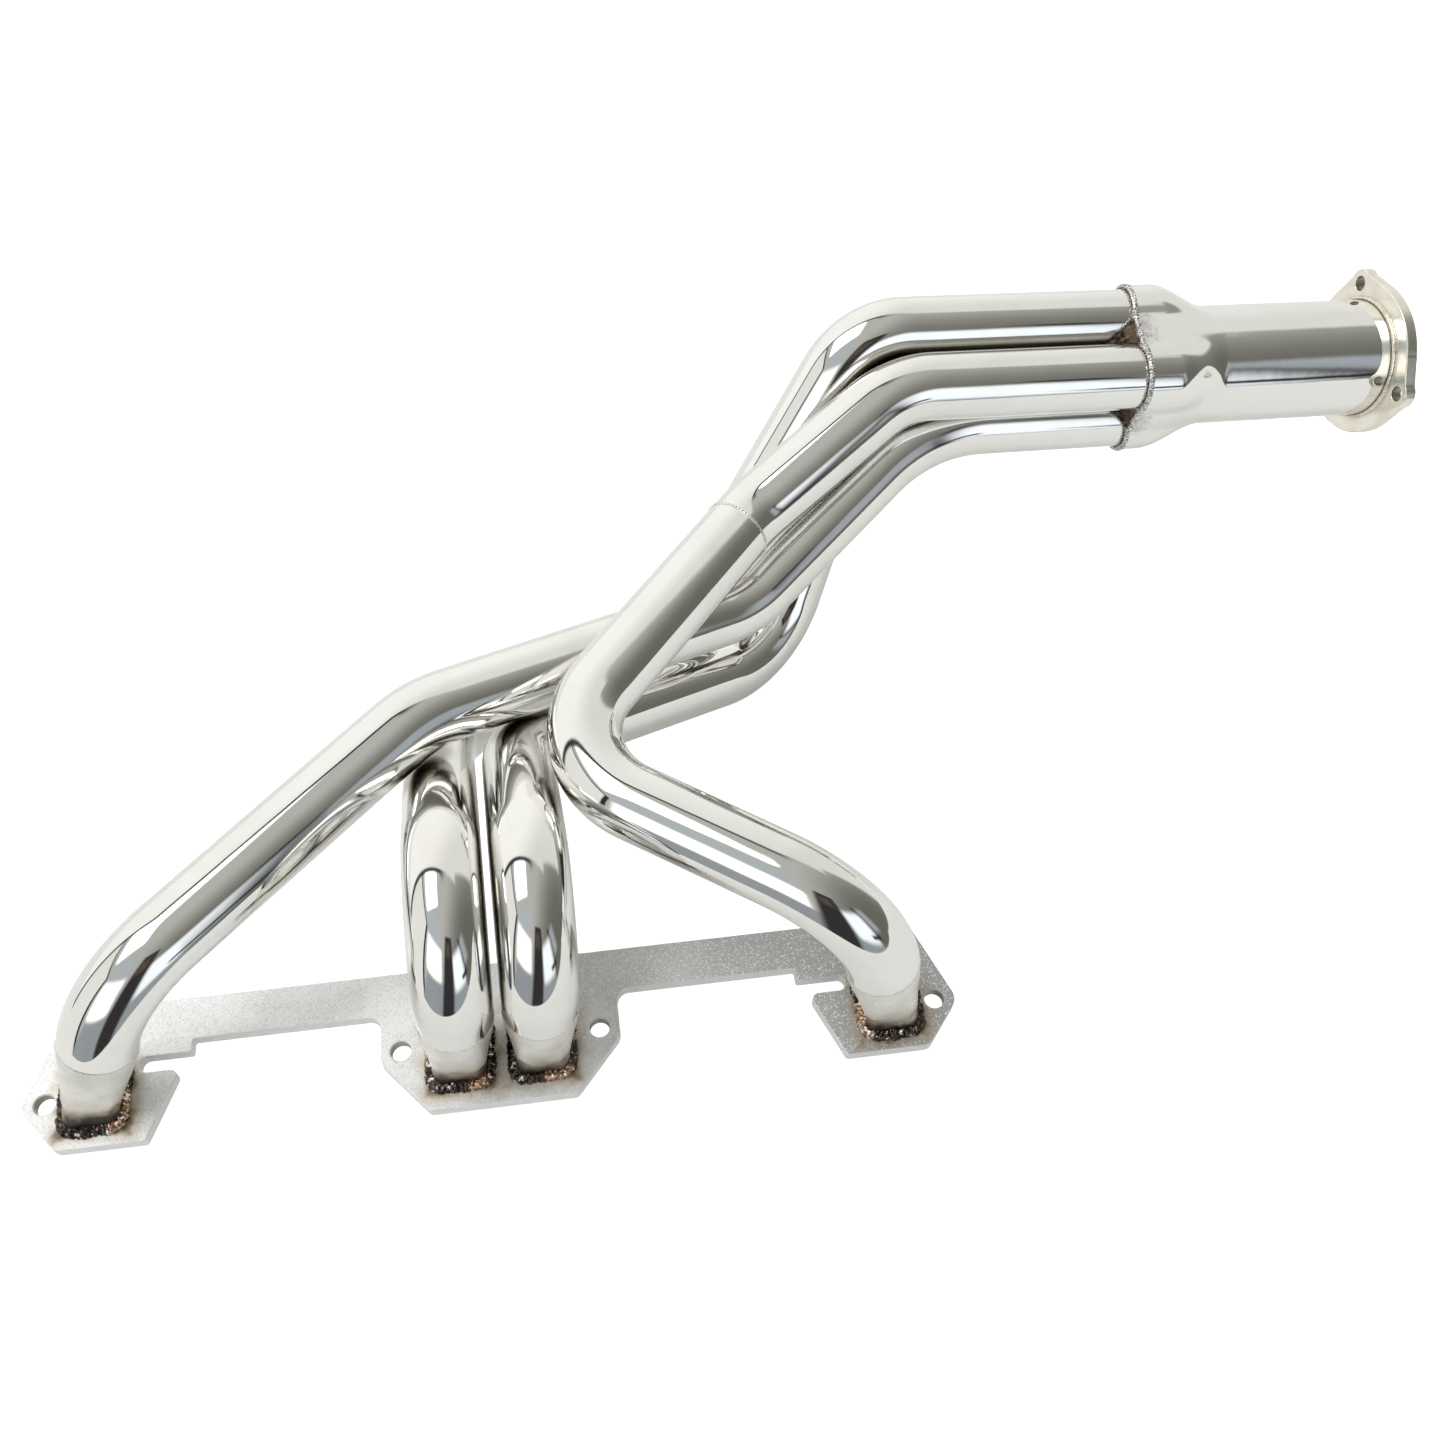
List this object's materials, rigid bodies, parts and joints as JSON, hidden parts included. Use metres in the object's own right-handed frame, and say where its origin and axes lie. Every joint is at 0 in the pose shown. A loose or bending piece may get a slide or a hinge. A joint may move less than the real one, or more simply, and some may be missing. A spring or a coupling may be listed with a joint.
{
  "type": "tubular exhaust manifold",
  "caption": "Four-into-one tubular exhaust manifold: flat head flange with port stubs, bent primary tubes, clover-mouthed collector and bolted outlet flange.",
  "frame": {"origin": "on the head flange's mating face, midway between the two centre ports", "axes": "+Z is the head flange's outward normal, away from the cylinder head; +X runs along the flange from port 1 to port 4, the way the collector points; +Y runs in the flange's plane towards the collector's side"},
  "size_m": [0.885, 0.4608, 0.2204],
  "materials": {
    "blasted_plate": "bead-blasted bare steel plate, light grey",
    "satin_stub": "satin stainless steel with brown heat tint next to the welds",
    "polished_tube": "mirror-polished stainless steel",
    "polished_collector": "polished stainless steel with a slight ripple",
    "weld_bead": "rippled weld bead with dark and copper tint",
    "seam_metal": "ground flush weld seam",
    "ring_weld": "straw-tinted weld ring",
    "outlet_flange": "polished steel with a champagne tint"
  },
  "bodies": {
    "root": {"head_flange": "blasted_plate", "port_stub_1": "satin_stub", "flange_weld_1": "weld_bead", "seam_weld_1": "seam_metal", "port_stub_2": "satin_stub", "flange_weld_2": "weld_bead", "seam_weld_2": "seam_metal", "port_stub_3": "satin_stub", "flange_weld_3": "weld_bead", "seam_weld_3": "seam_metal", "port_stub_4": "satin_stub", "flange_weld_4": "weld_bead", "seam_weld_4": "seam_metal", "primary_tube_1": "polished_tube", "primary_tube_2": "polished_tube", "primary_tube_3": "polished_tube", "primary_tube_4_lower": "polished_tube", "primary_tube_4_upper": "polished_tube", "seam_weld_4_mid": "seam_metal", "collector": "polished_collector", "collector_weld": "weld_bead", "merge_plug": "satin_stub", "collector_flange": "outlet_flange", "collector_flange_weld": "ring_weld"}
  },
  "joints": []
}
